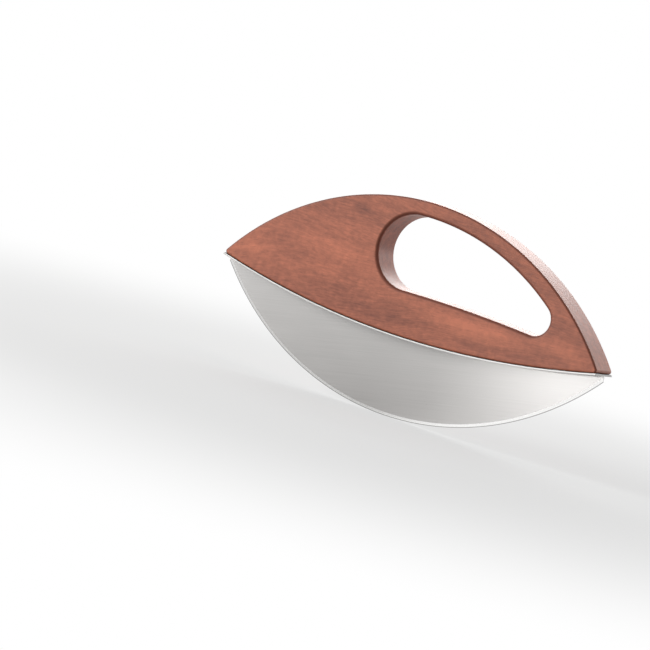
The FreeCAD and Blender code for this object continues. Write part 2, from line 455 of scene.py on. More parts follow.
def new_group(name, kind, inputs, outputs):
    """Node group with named sockets. An input is (name, type, default), an output (name, type)."""
    group = bpy.data.node_groups.new(name, kind)
    for socket_name, socket_type, default in inputs:
        socket = group.interface.new_socket(socket_name, in_out="INPUT", socket_type=socket_type)
        if default is not None:
            socket.default_value = default
    for socket_name, socket_type in outputs:
        group.interface.new_socket(socket_name, in_out="OUTPUT", socket_type=socket_type)
    entry = group.nodes.new("NodeGroupInput")
    leave = group.nodes.new("NodeGroupOutput")
    return group, entry.outputs, leave.inputs


def placed_group(tree, group, inputs):
    """Outputs of a node group placed in a tree, with its inputs set or linked."""
    return add(tree, "ShaderNodeGroup", inputs, node_tree=group).outputs


# Patterns that several materials share. Run, pitch and scale are in cells for each metre.
Streaks = namedtuple("Streaks", "run pitch detail")
Smudges = namedtuple("Smudges", "scale warp")


def streaks_group():
    """Fine lines along X, as of brushing or wood fibre: a value round one half."""
    name = "Lengthwise streaks"
    if name in bpy.data.node_groups:
        return bpy.data.node_groups[name]
    group, given, out = new_group(
        name, "ShaderNodeTree",
        [("Vector", VECTOR, None), ("Run", FLOAT, 20.0), ("Pitch", FLOAT, 900.0),
         ("Detail", FLOAT, 3.0)],
        [("Streaks", FLOAT)])
    stretch = add(group, "ShaderNodeCombineXYZ",
                  {"X": given["Run"], "Y": given["Pitch"], "Z": given["Pitch"]}).outputs[0]
    stretched = vectors(group, "MULTIPLY", given["Vector"], stretch)
    group.links.new(noise(group, stretched, given["Detail"], roughness=0.6), out["Streaks"])
    return group


def streaks(tree, vector, kind):
    return placed_group(tree, streaks_group(), {
        "Vector": vector, "Run": kind.run, "Pitch": kind.pitch, "Detail": kind.detail})["Streaks"]


def smudges_group():
    """Broad soft patches, as of handling: a value round one half."""
    name = "Soft smudges"
    if name in bpy.data.node_groups:
        return bpy.data.node_groups[name]
    group, given, out = new_group(
        name, "ShaderNodeTree",
        [("Vector", VECTOR, None), ("Scale", FLOAT, 30.0), ("Warp", FLOAT, 0.3)],
        [("Smudges", FLOAT)])
    patches = add(group, "ShaderNodeTexNoise", {
        "Vector": given["Vector"], "Scale": given["Scale"], "Detail": 3.0, "Roughness": 0.5,
        "Distortion": given["Warp"]})
    group.links.new(patches.outputs["Fac"], out["Smudges"])
    return group


def smudges(tree, vector, kind):
    return placed_group(tree, smudges_group(), {
        "Vector": vector, "Scale": kind.scale, "Warp": kind.warp})["Smudges"]


def vein_group():
    """One vein: a soft long patch at a place and a slant in the XZ plane, one at its middle."""
    name = "Dark vein"
    if name in bpy.data.node_groups:
        return bpy.data.node_groups[name]
    group, given, out = new_group(
        name, "ShaderNodeTree",
        [("Vector", VECTOR, None), ("Place", VECTOR, None), ("Turn", VECTOR, None),
         ("Size", VECTOR, (1.0, 1.0, 1.0))],
        [("Mask", FLOAT)])
    local = add(group, "ShaderNodeMapping", {
        "Vector": given["Vector"], "Location": given["Place"], "Rotation": given["Turn"],
        "Scale": given["Size"]}, vector_type="TEXTURE")
    reach = size_of(group, local.outputs[0])
    group.links.new(remap(group, reach, 0.0, 1.0, 1.0, 0.0, smooth=True), out["Mask"])
    return group


# Materials
MIDDLE_VALUES = (0.3, 0.7)          # where a pattern has most of its values
PATTERN_MEAN = (0.5, 0.5, 0.5)
Layer = namedtuple("Layer", "start full most smooth", defaults=(1.0, False))
Bump = namedtuple("Bump", "strength distance")


def new_material(name, **constants):
    """Material with a Principled shader, whose even values are set on its own sockets."""
    material = bpy.data.materials.new(name)
    material.use_nodes = True
    tree = material.node_tree
    shader = tree.nodes["Principled BSDF"]
    for socket, value in constants.items():
        shader.inputs[socket.replace("_", " ")].default_value = value
    return material, tree, shader, object_place(tree)


def add_bump(tree, shader, height, bump):
    node = add(tree, "ShaderNodeBump", {
        "Height": height, "Strength": bump.strength, "Distance": bump.distance})
    tree.links.new(node.outputs["Normal"], shader.inputs["Normal"])


def layered(tree, below, measure, layer, colour_value):
    """Colour laid over another, from where a measure starts it to where it is full."""
    cover = remap(tree, measure, layer.start, layer.full, 0.0, layer.most, layer.smooth)
    return mixed(tree, cover, below, opaque(colour_value))


def lay_over(material, measure, layer, colour_value):
    """Lays a colour over what a finished material has."""
    tree = material.node_tree
    base = tree.nodes["Principled BSDF"].inputs["Base Color"]
    below = base.links[0].from_socket
    tree.links.new(layered(tree, below, measure, layer, colour_value), base)


# Figure of the handle's wood: place, rise in degrees, half length, half width and strength of each
# vein. A dark vein has a strength above zero, and a pale one below.
Vein = namedtuple("Vein", "x z rise long wide strength")
VEINS = (
    Vein(-0.053, 0.1350, -15, 0.048, 0.0080, 0.80),
    Vein(-0.078, 0.1285, -6, 0.070, 0.0150, 0.35),
    Vein(-0.052, 0.0690, 5, 0.085, 0.0085, 0.75),
    Vein(-0.060, 0.0765, 8, 0.060, 0.0045, 0.30),
    Vein(-0.004, 0.0680, 4, 0.066, 0.0060, 0.60),
    Vein(0.012, 0.0775, 0, 0.056, 0.0045, 0.40),
    Vein(0.016, 0.1440, -6, 0.050, 0.0060, 0.50),
    Vein(0.064, 0.1320, -21, 0.062, 0.0080, 0.60),
    Vein(-0.101, 0.0890, 2, 0.044, 0.0055, 0.35),
    Vein(0.092, 0.0705, 4, 0.070, 0.0045, 0.30),
    Vein(0.055, 0.0785, 0, 0.072, 0.0100, -1.50),
    Vein(-0.125, 0.0880, 12, 0.046, 0.0065, -0.60),
    Vein(-0.060, 0.1000, -8, 0.070, 0.0140, -0.45),
    Vein(0.125, 0.0830, -10, 0.040, 0.0095, -1.00),
)
VEIN_PITCH = (40.0, 70.0, 70.0)     # how fast the veins waver
VEIN_REACH = (0.016, 0.0, 0.005)    # how far they waver
VEIN_BREAKS = (0.35, 0.65)          # fibres between which the veins are broken up
VEIN_LEAST = 0.6                    # what is left of a vein on the palest fibres
GRAIN_LEVEL = 0.07                  # height at which the grain runs almost level
GRAIN_RISE = 0.12                   # rise of the grain there
GRAIN_TURN = 3.0                    # how much more it falls towards the crown, for each metre
GRAIN_PITCH = (9.0, 22.0, 22.0)     # how fast the grain wavers
GRAIN_REACH = (0.0, 0.010, 0.016)   # how far it wavers
BAND_PITCH = (13.0, 150.0, 150.0)
FIBRES = Streaks(120.0, 950.0, 3.0)
PORES = Streaks(150.0, 2600.0, 1.0)
BLOTCHES = Smudges(26.0, 0.8)
MOTTLE = Smudges(240.0, 0.4)
# The wood's tone is a base and so much of each pattern. Layers of colour follow the tone.
TONE_BASE = -0.24
FIBRE_TONE, BAND_TONE, BLOTCH_TONE, MOTTLE_TONE, VEIN_TONE = 0.48, 0.42, 0.30, 0.35, -0.24
PALE_GRAIN = Layer(0.50, 0.85)
DARK_GRAIN = Layer(0.50, 0.24)
VEIN_GRAIN = Layer(0.26, 0.02, 0.8)
OPEN_PORES = Layer(0.36, 0.27, 0.3)
# Painted shade laid on the rounded edges of the wood
SHADED_EDGES = Layer(0.0, 1.0, 0.85)
SHEEN_VALUES = (0.6, 1.4)           # sum of fibres and blotches over which the roughness changes
SHEEN_BELOW, SHEEN_ABOVE = 0.04, 0.05
EDGE_DULLNESS = 0.3                 # roughness that a rounded edge adds
WOOD_BUMP = Bump(0.025, 0.00005)


def wavered(tree, place, pitch, reach, base):
    """Base moved about by a soft pattern, half the reach each way."""
    drift = noise(tree, vectors(tree, "MULTIPLY", place, pitch), detail=2.0, output="Color")
    centred = vectors(tree, "SUBTRACT", drift, PATTERN_MEAN)
    return vectors(tree, "ADD", vectors(tree, "MULTIPLY", centred, reach), base)


def grain_space(tree, place):
    """Place with its height measured across the grain, which bends down towards the crown."""
    axes = axes_of(tree, place)
    height = maths(tree, "SUBTRACT", axes["Z"], GRAIN_LEVEL)
    fall = maths(tree, "MULTIPLY_ADD", height, GRAIN_TURN, -GRAIN_RISE)
    across = maths(tree, "MULTIPLY_ADD", axes["X"], fall, axes["Z"])
    bent = add(tree, "ShaderNodeCombineXYZ", {"X": axes["X"], "Y": axes["Y"], "Z": across})
    return wavered(tree, place, GRAIN_PITCH, GRAIN_REACH, bent.outputs[0])


def wood_figure(tree, place):
    """Sum of the veins, dark above zero and pale below."""
    wander = wavered(tree, place, VEIN_PITCH, VEIN_REACH, place)
    figure = 0.0
    for vein in VEINS:
        mask = placed_group(tree, vein_group(), {
            "Vector": wander, "Place": (vein.x, 0.0, vein.z),
            "Turn": (0.0, -math.radians(vein.rise), 0.0),
            "Size": (vein.long, 1.0, vein.wide)})["Mask"]
        figure = maths(tree, "MULTIPLY_ADD", mask, vein.strength, figure)
    return figure


def wood_material(finish):
    """Oiled reddish-brown wood whose grain runs along the knife, through the whole thickness."""
    material, tree, shader, place = new_material(
        "Oiled wood", Coat_Weight=finish.wood_coat, Coat_Roughness=0.3, Specular_IOR_Level=0.4)
    grain = grain_space(tree, place)
    bands = noise(tree, vectors(tree, "MULTIPLY", grain, BAND_PITCH), detail=4.0, roughness=0.6)
    fibres, pores = streaks(tree, grain, FIBRES), streaks(tree, grain, PORES)
    blotches, mottle = smudges(tree, place, BLOTCHES), smudges(tree, place, MOTTLE)
    broken = maths(tree, "MULTIPLY", wood_figure(tree, place),
                   remap(tree, fibres, *VEIN_BREAKS, 1.0, VEIN_LEAST))
    tone = TONE_BASE
    for pattern, part in ((fibres, FIBRE_TONE), (bands, BAND_TONE), (blotches, BLOTCH_TONE),
                          (mottle, MOTTLE_TONE), (broken, VEIN_TONE)):
        tone = maths(tree, "MULTIPLY_ADD", pattern, part, tone)
    rounding = add(tree, "ShaderNodeAttribute", attribute_name=EDGE_ROUNDING).outputs["Fac"]
    wood = opaque(finish.wood)
    # The last layer is painted shade on the rounded edges
    for measure, layer, colour_value in (
            (tone, PALE_GRAIN, finish.wood_light), (tone, DARK_GRAIN, finish.wood_dark),
            (tone, VEIN_GRAIN, finish.wood_vein), (pores, OPEN_PORES, finish.wood_vein),
            (rounding, SHADED_EDGES, finish.wood_edge)):
        wood = layered(tree, wood, measure, layer, colour_value)
    tree.links.new(wood, shader.inputs["Base Color"])
    sheen = remap(tree, maths(tree, "ADD", fibres, blotches), *SHEEN_VALUES,
                  finish.wood_roughness - SHEEN_BELOW, finish.wood_roughness + SHEEN_ABOVE)
    tree.links.new(maths(tree, "MULTIPLY_ADD", rounding, EDGE_DULLNESS, sheen),
                   shader.inputs["Roughness"])
    add_bump(tree, shader, fibres, WOOD_BUMP)
    return material


BLADE_BRUSHING = Streaks(14.0, 2100.0, 4.0)
BEVEL_GRINDING = Streaks(300.0, 3000.0, 4.0)
COLLAR_BRUSHING = Streaks(60.0, 1800.0, 4.0)
SCREW_TURNING = Streaks(400.0, 400.0, 4.0)
HANDLING = Smudges(18.0, 0.5)
BRUSH_ROUGHNESS = 0.10              # roughness between the brushing's dark and pale lines
HANDLING_ROUGHNESS = 0.01           # roughness that handling adds or takes
STEEL_BUMP = Bump(0.04, 0.00002)
# Painted dark reflection near the cutting edge
PAINTED_EDGE_LINE = Layer(0.74, 0.86, smooth=True)
# Painted shade at the collar's ends
SHADED_COLLAR_ENDS = Layer(COLLAR_HIGH.x - 0.0010, COLLAR_HIGH.x - 0.0005)


def brushed_steel(name, steel, roughness, brushing, contrast, rise=0.0, anisotropic=0.0):
    """Steel brushed along the knife, or at a slant to it, with soft smudges."""
    material, tree, shader, place = new_material(
        name, Metallic=1.0, Anisotropic=anisotropic, Anisotropic_Rotation=0.25)
    along = add(tree, "ShaderNodeMapping", {"Vector": place, "Rotation": (0.0, rise, 0.0)})
    lines = streaks(tree, along.outputs[0], brushing)
    dark = tuple(value * (1 - contrast) for value in steel)
    pale = tuple(min(1.0, value * (1 + contrast)) for value in steel)
    tree.links.new(layered(tree, opaque(dark), lines, Layer(*MIDDLE_VALUES), pale),
                   shader.inputs["Base Color"])
    base = roughness - BRUSH_ROUGHNESS / 2
    handled = remap(tree, smudges(tree, place, HANDLING), *MIDDLE_VALUES,
                    base - HANDLING_ROUGHNESS, base + HANDLING_ROUGHNESS)
    tree.links.new(maths(tree, "MULTIPLY_ADD", lines, BRUSH_ROUGHNESS, handled),
                   shader.inputs["Roughness"])
    add_bump(tree, shader, lines, STEEL_BUMP)
    if anisotropic:
        tangent = add(tree, "ShaderNodeTangent", direction_type="UV_MAP", uv_map=BRUSH_MAP)
        tree.links.new(tangent.outputs[0], shader.inputs["Tangent"])
    return material


def paint_edge_reflection(material, reflection_colour):
    """Paints a dark reflection on a bevel's steel: a thin darker line along the cutting edge."""
    nearness = add(material.node_tree, "ShaderNodeAttribute", attribute_name=EDGE_NEARNESS)
    lay_over(material, nearness.outputs["Fac"], PAINTED_EDGE_LINE, reflection_colour)


def shade_collar_ends(material, cut):
    """Darkens the collar's steel at its two ends: painted shade."""
    tree = material.node_tree
    reach = maths(tree, "ABSOLUTE", axes_of(tree, object_place(tree))["X"])
    lay_over(material, reach, SHADED_COLLAR_ENDS, cut)


SEAL_GRAIN = Smudges(900.0, 0.0)
SEAL_CONTRAST = 1.8                 # how much paler the seal's grain is
SEAL_ROUGHNESS = (0.6, 0.75)


def seal_and_shade_material(finish):
    """Matt dark seal with a fine grain. Its near-black colour also paints the shade under the
    wood's rounded lower edge.
    """
    material, tree, shader, place = new_material("Dark seal", Specular_IOR_Level=0.3)
    grain = smudges(tree, place, SEAL_GRAIN)
    pale = tuple(value * SEAL_CONTRAST for value in finish.seal)
    tree.links.new(mixed(tree, grain, opaque(finish.seal), opaque(pale)),
                   shader.inputs["Base Color"])
    tree.links.new(remap(tree, grain, *MIDDLE_VALUES, *SEAL_ROUGHNESS), shader.inputs["Roughness"])
    return material


MIRROR_TURN = (-0.04, 0.06)         # X between which the floor's share in metal changes


def ray_kinds(tree):
    """Masks of the rays from the camera, and of those that metal or glass sends on."""
    path = add(tree, "ShaderNodeLightPath").outputs
    mirrored = maths(tree, "MAXIMUM", path["Is Glossy Ray"], path["Is Transmission Ray"])
    return path["Is Camera Ray"], mirrored


def end_in_mix(tree, kind, white_share, lit, white):
    """Ends a tree in its output, with a share of white in what is lit."""
    both = add(tree, "ShaderNodeMixShader", {
        0: white_share, 1: lit.outputs[0], 2: white.outputs[0]})
    add(tree, kind, {"Surface": both.outputs[0]})


def floor_material(studio):
    """Pale floor with the knife's shadow, whiter to the camera and to metal than it is lit."""
    material = bpy.data.materials.new("Pale floor")
    material.use_nodes = True
    tree = material.node_tree
    tree.nodes.clear()
    lit = add(tree, "ShaderNodeBsdfDiffuse", {"Color": opaque(studio.floor)})
    white = add(tree, "ShaderNodeEmission", {"Color": WHITE, "Strength": 1.0})
    seen, mirrored = ray_kinds(tree)
    place = object_place(tree)
    away = size_of(tree, place)
    mirror = remap(tree, axes_of(tree, place)["X"], *MIRROR_TURN,
                   studio.mirror_left, studio.mirror_right, smooth=True)

    def faded(ray, near_share):
        """White share for one kind of ray, which is whole far from the knife."""
        fade = remap(tree, away, studio.fade_start, studio.fade_end, near_share, 1.0, smooth=True)
        return maths(tree, "MULTIPLY", ray, fade)

    white_share = maths(tree, "MAXIMUM", faded(seen, studio.floor_glow), faded(mirrored, mirror))
    end_in_mix(tree, "ShaderNodeOutputMaterial", white_share, lit, white)
    return material


# Geometry Nodes
class Shape:
    """Helper that writes a geometry tree and reads its inputs by name."""

    def __init__(self, name, inputs):
        self.tree, self.given, self.out = new_group(
            name, "GeometryNodeTree", inputs, [("Geometry", GEOMETRY)])

    def add(self, kind, inputs=None, **settings):
        return add(self.tree, kind, inputs, **settings)

    def maths(self, operation, a, b=0.0, c=0.0):
        return maths(self.tree, operation, a, b, c)

    def capture(self, geometry, name, value):
        """Geometry that carries a value as a captured attribute, and that attribute."""
        node = self.add("GeometryNodeCaptureAttribute", {"Geometry": geometry})
        node.capture_items.new("FLOAT", name)
        self.tree.links.new(value, node.inputs[name])
        return node.outputs["Geometry"], node.outputs[name]

    def both_ways(self, fraction):
        """A value from 0 to 1, made one from -1 to 1."""
        return self.maths("MULTIPLY_ADD", fraction, 2.0, -1.0)

    def leave(self, geometry):
        self.tree.links.new(geometry, self.out["Geometry"])

    def make_mesh(self, name, values):
        """Plain mesh that the tree gives for these values."""
        host = bpy.data.objects.new(name, bpy.data.meshes.new(name))
        bpy.context.scene.collection.objects.link(host)
        modifier = host.modifiers.new(name, "NODES")
        modifier.node_group = self.tree
        for item in self.tree.interface.items_tree:
            if item.in_out == "INPUT" and item.name in values:
                modifier[item.identifier] = values[item.name]
        mesh = evaluated_mesh(host)
        empty = host.data
        host.modifiers.clear()
        bpy.data.objects.remove(host)
        bpy.data.meshes.remove(empty)
        mesh.name = name
        return mesh


def evaluated_mesh(thing):
    """New plain mesh of an object with its modifiers applied."""
    depsgraph = bpy.context.evaluated_depsgraph_get()
    return bpy.data.meshes.new_from_object(thing.evaluated_get(depsgraph), depsgraph=depsgraph)


SECTION_CORNERS = 6         # from the front of the shoulder, round the edge, to the shoulder's back
EDGE_MIDDLE = 2.5           # between the two corners of the cutting edge
BEVEL_MIDDLE = 1.0          # corners from there to the middle of a bevel
BEVEL_ROOM = 0.2            # how far from that a face still counts as the bevel
CREASE = math.radians(8)    # the blade's shading breaks at edges that turn more than this


def blade_shape():
    """Crescent between the shoulder's and the cutting edge's circles, bevelled on both sides.
    A section is swept along the blade, and each of its corners then goes to its place by rule."""
    shape = Shape("Bevelled crescent", [
        ("Stations", INTEGER, 200), ("Half Angle", FLOAT, 0.2), ("Hub Height", FLOAT, 0.7),
        ("Shoulder Radius", FLOAT, 0.6), ("Edge Radius", FLOAT, 0.2), ("Bevel Width", FLOAT, 0.002),
        ("Thickness", FLOAT, 0.002), ("Edge Land", FLOAT, 0.0002), ("Brush Rise", FLOAT, 0.0),
        ("Side", MATERIAL, None), ("Bevel", MATERIAL, None)])
    given, m = shape.given, shape.maths
    line = shape.add("GeometryNodeCurvePrimitiveLine").outputs["Curve"]
    path = shape.add("GeometryNodeResampleCurve", {"Curve": line, "Count": given["Stations"]})
    path, along = shape.capture(path.outputs["Curve"], "Along",
                                shape.add("GeometryNodeSplineParameter").outputs["Factor"])
    section = shape.add("GeometryNodeCurvePrimitiveCircle", {"Resolution": SECTION_CORNERS})
    section, corner = shape.capture(section.outputs["Curve"], "Corner",
                                    shape.add("GeometryNodeInputIndex").outputs["Index"])
    swept = shape.add("GeometryNodeCurveToMesh", {
        "Curve": path, "Profile Curve": section, "Fill Caps": True})
    angle = m("MULTIPLY", shape.both_ways(along), given["Half Angle"])
    sine, cosine = m("SINE", angle), m("COSINE", angle)
    offset = m("SUBTRACT", given["Hub Height"], given["Edge Radius"])

    def reach(radius):
        """From the shoulder's hub to a circle about the edge's hub, along the angle."""
        across = m("MULTIPLY", offset, sine)
        squared = m("SUBTRACT", m("MULTIPLY", radius, radius), m("MULTIPLY", across, across))
        return m("MULTIPLY_ADD", offset, cosine, m("SQRT", squared))

    def by_corner(values):
        """The value that belongs to each corner of the section."""
        switch = shape.add("GeometryNodeIndexSwitch", data_type="FLOAT")
        while len(switch.index_switch_items) < len(values):
            switch.index_switch_items.new()
        shape.tree.links.new(corner, switch.inputs["Index"])
        for i, value in enumerate(values):
            shape.tree.links.new(value, switch.inputs[i + 1])
        return switch.outputs["Output"]

    shoulder = given["Shoulder Radius"]
    at_edge = reach(given["Edge Radius"])
    at_bevel = reach(m("SUBTRACT", given["Edge Radius"], given["Bevel Width"]))
    half = m("MULTIPLY", given["Thickness"], 0.5)
    land = m("MULTIPLY", given["Edge Land"], 0.5)
    front, front_land = m("MULTIPLY", half, -1.0), m("MULTIPLY", land, -1.0)
    radius = by_corner([shoulder, at_bevel, at_edge, at_edge, at_bevel, shoulder])
    depth = by_corner([front, front, front_land, land, half, half])
    spot = shape.add("ShaderNodeCombineXYZ", {
        "X": m("MULTIPLY", radius, sine), "Y": depth,
        "Z": m("SUBTRACT", given["Hub Height"], m("MULTIPLY", radius, cosine))})
    formed = shape.add("GeometryNodeSetPosition", {
        "Geometry": swept.outputs["Mesh"], "Position": spot.outputs[0]})

    # Nearness to the cutting edge, the mask of the painted dark reflection
    from_edge = m("ABSOLUTE", m("SUBTRACT", corner, EDGE_MIDDLE))
    edged = shape.add("GeometryNodeStoreNamedAttribute", {
        "Geometry": formed.outputs["Geometry"], "Name": EDGE_NEARNESS,
        "Value": m("LESS_THAN", from_edge, BEVEL_MIDDLE)}, data_type="FLOAT", domain="POINT")
    turned = shape.add("ShaderNodeVectorRotate", {
        "Vector": shape.add("GeometryNodeInputPosition").outputs[0],
        "Angle": given["Brush Rise"]}, rotation_type="Y_AXIS")
    place = axes_of(shape.tree, turned.outputs[0])
    flat = shape.add("ShaderNodeCombineXYZ", {"X": place["X"], "Y": place["Z"]})
    mapped = shape.add("GeometryNodeStoreNamedAttribute", {
        "Geometry": edged.outputs["Geometry"], "Name": BRUSH_MAP,
        "Value": flat.outputs[0]}, data_type="FLOAT2", domain="CORNER")

    smooth = shape.add("GeometryNodeSetShadeSmooth", {
        "Geometry": mapped.outputs["Geometry"]}, domain="FACE")
    turn = shape.add("GeometryNodeInputMeshEdgeAngle").outputs["Unsigned Angle"]
    creased = shape.add("GeometryNodeSetShadeSmooth", {
        "Geometry": smooth.outputs["Geometry"], "Selection": m("GREATER_THAN", turn, CREASE),
        "Shade Smooth": False}, domain="EDGE")
    sides = shape.add("GeometryNodeSetMaterial", {
        "Geometry": creased.outputs["Geometry"], "Material": given["Side"]})
    bevels = shape.add("GeometryNodeSetMaterial", {
        "Geometry": sides.outputs["Geometry"], "Material": given["Bevel"],
        "Selection": m("COMPARE", from_edge, BEVEL_MIDDLE, BEVEL_ROOM)})
    whole_blade = shape.add("GeometryNodeRealizeInstances", {
        "Geometry": bevels.outputs["Geometry"]})
    shape.leave(whole_blade.outputs["Geometry"])
    return shape


def screw_row_shape():
    """Screws square to the collar, in two rows, one each side of the blade."""
    shape = Shape("Screws along the collar", [
        ("Screw", OBJECT, None), ("Per Side", INTEGER, 4), ("Reach", FLOAT, 0.12),
        ("Radius", FLOAT, 0.6), ("Hub Height", FLOAT, 0.7), ("Side Offset", FLOAT, 0.007),
        ("Material", MATERIAL, None)])
    given, m = shape.given, shape.maths
    points = shape.add("GeometryNodePoints", {"Count": m("MULTIPLY", given["Per Side"], 2.0)})
    index = shape.add("GeometryNodeInputIndex").outputs["Index"]
    row = m("FLOOR", m("DIVIDE", index, given["Per Side"]))
    column = m("MODULO", index, given["Per Side"])
    fraction = m("DIVIDE", column, m("SUBTRACT", given["Per Side"], 1.0))
    x = m("MULTIPLY", shape.both_ways(fraction), given["Reach"])
    angle = m("ARCSINE", m("DIVIDE", x, given["Radius"]))
    drop = m("MULTIPLY", given["Radius"], m("COSINE", angle))
    spot = shape.add("ShaderNodeCombineXYZ", {
        "X": m("MULTIPLY", given["Radius"], m("SINE", angle)),
        "Y": m("MULTIPLY", shape.both_ways(row), given["Side Offset"]),
        "Z": m("SUBTRACT", given["Hub Height"], drop)})
    turn = shape.add("ShaderNodeCombineXYZ", {"Y": m("MULTIPLY", angle, -1.0)})
    spots = shape.add("GeometryNodeSetPosition", {
        "Geometry": points.outputs[0], "Position": spot.outputs[0]})
    screw = shape.add("GeometryNodeObjectInfo", {"Object": given["Screw"]})
    copies = shape.add("GeometryNodeInstanceOnPoints", {
        "Points": spots.outputs["Geometry"], "Instance": screw.outputs["Geometry"],
        "Rotation": turn.outputs[0]})
    real = shape.add("GeometryNodeRealizeInstances", {"Geometry": copies.outputs["Instances"]})
    dressed = shape.add("GeometryNodeSetMaterial", {
        "Geometry": real.outputs["Geometry"], "Material": given["Material"]})
    shape.leave(dressed.outputs["Geometry"])
    return shape


# Screws
RECESS_FLOOR_SPAN, RECESS_FLOOR_WIDTH = 0.45, 0.7   # the recess at its floor, against its mouth
CUTTER_PROUD = 0.25         # how far the cutter stands out of the head, against the recess's depth
SCREW_CREASE = math.radians(30)


def lathe(profile, sides):
    """Closed mesh turned about Z from (radius, height) points that start and end on the axis."""
    turned = bmesh.new()
    rings = []
    for radius, z in profile:
        count = sides if radius else 1
        turns = [FULL_TURN * i / sides for i in range(count)]
        rings.append([turned.verts.new((radius * math.cos(turn), radius * math.sin(turn), z))
                      for turn in turns])
    for lower, upper in zip(rings, rings[1:]):
        for i in range(sides):
            j = (i + 1) % sides
            corners = [lower[i % len(lower)], lower[j % len(lower)],
                       upper[j % len(upper)], upper[i % len(upper)]]
            turned.faces.new(list(dict.fromkeys(corners)))
    bmesh.ops.recalc_face_normals(turned, faces=turned.faces[:])
    return turned


def cross_cutter(sizes):
    """Tapered cross that cuts the recess of a screw's head, a little proud of the face."""
    cutter = bmesh.new()
    proud = sizes.recess_depth * CUTTER_PROUD
    for turn in (0.0, math.pi / 2):
        bar = bmesh.ops.create_cube(cutter, size=1.0)["verts"]
        for vert in bar:
            deep = vert.co.z > 0
            span = sizes.recess_span * (RECESS_FLOOR_SPAN if deep else 1.0)
            width = sizes.recess_width * (RECESS_FLOOR_WIDTH if deep else 1.0)
            vert.co = Vector((vert.co.x * span, vert.co.y * width,
                              sizes.recess_depth if deep else -proud))
        bmesh.ops.rotate(cutter, verts=bar, cent=(0, 0, 0), matrix=Matrix.Rotation(turn, 3, "Z"))
    return cutter


def object_from(shaped, name):
    mesh = bpy.data.meshes.new(name)
    shaped.to_mesh(mesh)
    shaped.free()
    thing = bpy.data.objects.new(name, mesh)
    bpy.context.scene.collection.objects.link(thing)
    return thing


def merge_corners(mesh):
    """Makes one of corners that share a place."""
    merged = bmesh.new()
    merged.from_mesh(mesh)
    bmesh.ops.remove_doubles(merged, verts=merged.verts[:], dist=SAME_PLACE)
    merged.to_mesh(mesh)
    merged.free()


def screw_object(sizes):
    """One countersunk wood screw along +Z, its head's face at Z = 0, with a cross recess."""
    head, shank, rim = sizes.head_diameter / 2, sizes.diameter / 2, sizes.head_rim
    profile = [(0.0, 0.0), (head - rim, 0.0), (head, rim / 2), (head, rim),
               (shank, rim + head - shank), (shank, sizes.length - sizes.point_length),
               (0.0, sizes.length)]
    screw = object_from(lathe(profile, sizes.sides), "screw_blank")
    cutter = object_from(cross_cutter(sizes), "recess_cutter")
    cut = screw.modifiers.new("Recess", "BOOLEAN")
    cut.operation = "DIFFERENCE"
    cut.object = cutter
    cut.solver = "EXACT"
    cut.use_self = True
    finished = evaluated_mesh(screw)
    screw.modifiers.clear()
    screw.data = finished
    merge_corners(finished)
    finished.shade_smooth()
    finished.set_sharp_from_angle(angle=SCREW_CREASE)
    bpy.data.objects.remove(cutter)
    return screw


# Operators
class KNIFE_OT_wooden_handle(bpy.types.Operator):
    """Model the wooden handle with its grip opening, in oiled wood"""
    bl_idname = "knife.wooden_handle"
    bl_label = "Wooden handle"

    def execute(self, context):
        sizes = context.scene.knife_handle
        plate = RoundedPlate(sizes.thickness, sizes.round_steps)
        outer = walk(handle_outline(sizes), sizes.outline_step)
        plate.add_wall(outer, sizes.edge_round, seated=True)
        plate.add_wall(walk(opening_outline(sizes), sizes.outline_step), sizes.opening_round)
        mesh = plate.finish("oiled_handle")
        mesh.materials.append(wood_material(context.scene.knife_finishes))
        place_piece(mesh, "wooden_handle")
        return {"FINISHED"}


class KNIFE_OT_blade(bpy.types.Operator):
    """Model the crescent blade with its ground bevel, in brushed steel"""
    bl_idname = "knife.blade"
    bl_label = "Blade"

    def execute(self, context):
        sizes, finish = context.scene.knife_blade, context.scene.knife_finishes
        curves = HandleCurves(context.scene.knife_handle)
        shoulder = curves.belly_hub.y - sizes.height
        half_angle = curves.half_angle - sizes.end_inset / shoulder
        end = curves.belly_hub - direction(half_angle) * (shoulder + sizes.end_height)
        side = brushed_steel("Brushed blade steel", finish.blade_steel, finish.blade_roughness,
                             BLADE_BRUSHING, contrast=0.05, rise=sizes.brush_rise, anisotropic=0.4)
        bevel = brushed_steel("Ground bevel steel", finish.bevel_steel, finish.bevel_roughness,
                              BEVEL_GRINDING, contrast=0.03)
        # Painted dark reflection along the cutting edge
        paint_edge_reflection(bevel, finish.honed_steel)
        mesh = blade_shape().make_mesh("ground_blade", {
            "Stations": sizes.stations, "Half Angle": half_angle, "Hub Height": curves.belly_hub.y,
            "Shoulder Radius": shoulder, "Edge Radius": arc_radius(end.x, end.y),
            "Bevel Width": sizes.bevel_width, "Thickness": sizes.thickness,
            "Edge Land": sizes.edge_land, "Brush Rise": sizes.brush_rise,
            "Side": side, "Bevel": bevel})
        place_piece(mesh, "blade")
        return {"FINISHED"}


class KNIFE_OT_collar(bpy.types.Operator):
    """Finish the steel collar and the dark seal above it"""
    bl_idname = "knife.collar"
    bl_label = "Collar and seal"

    def execute(self, context):
        finish = context.scene.knife_finishes
        satin = brushed_steel("Satin collar steel", finish.collar_steel, finish.collar_roughness,
                              COLLAR_BRUSHING, contrast=0.04)
        # Painted shade on the collar's ends
        shade_collar_ends(satin, finish.collar_end)
        dress_node("collar", satin)
        # The seal's dark colour is partly painted shade under the wood's lower edge
        dress_node("collar_seal", seal_and_shade_material(finish))
        return {"FINISHED"}


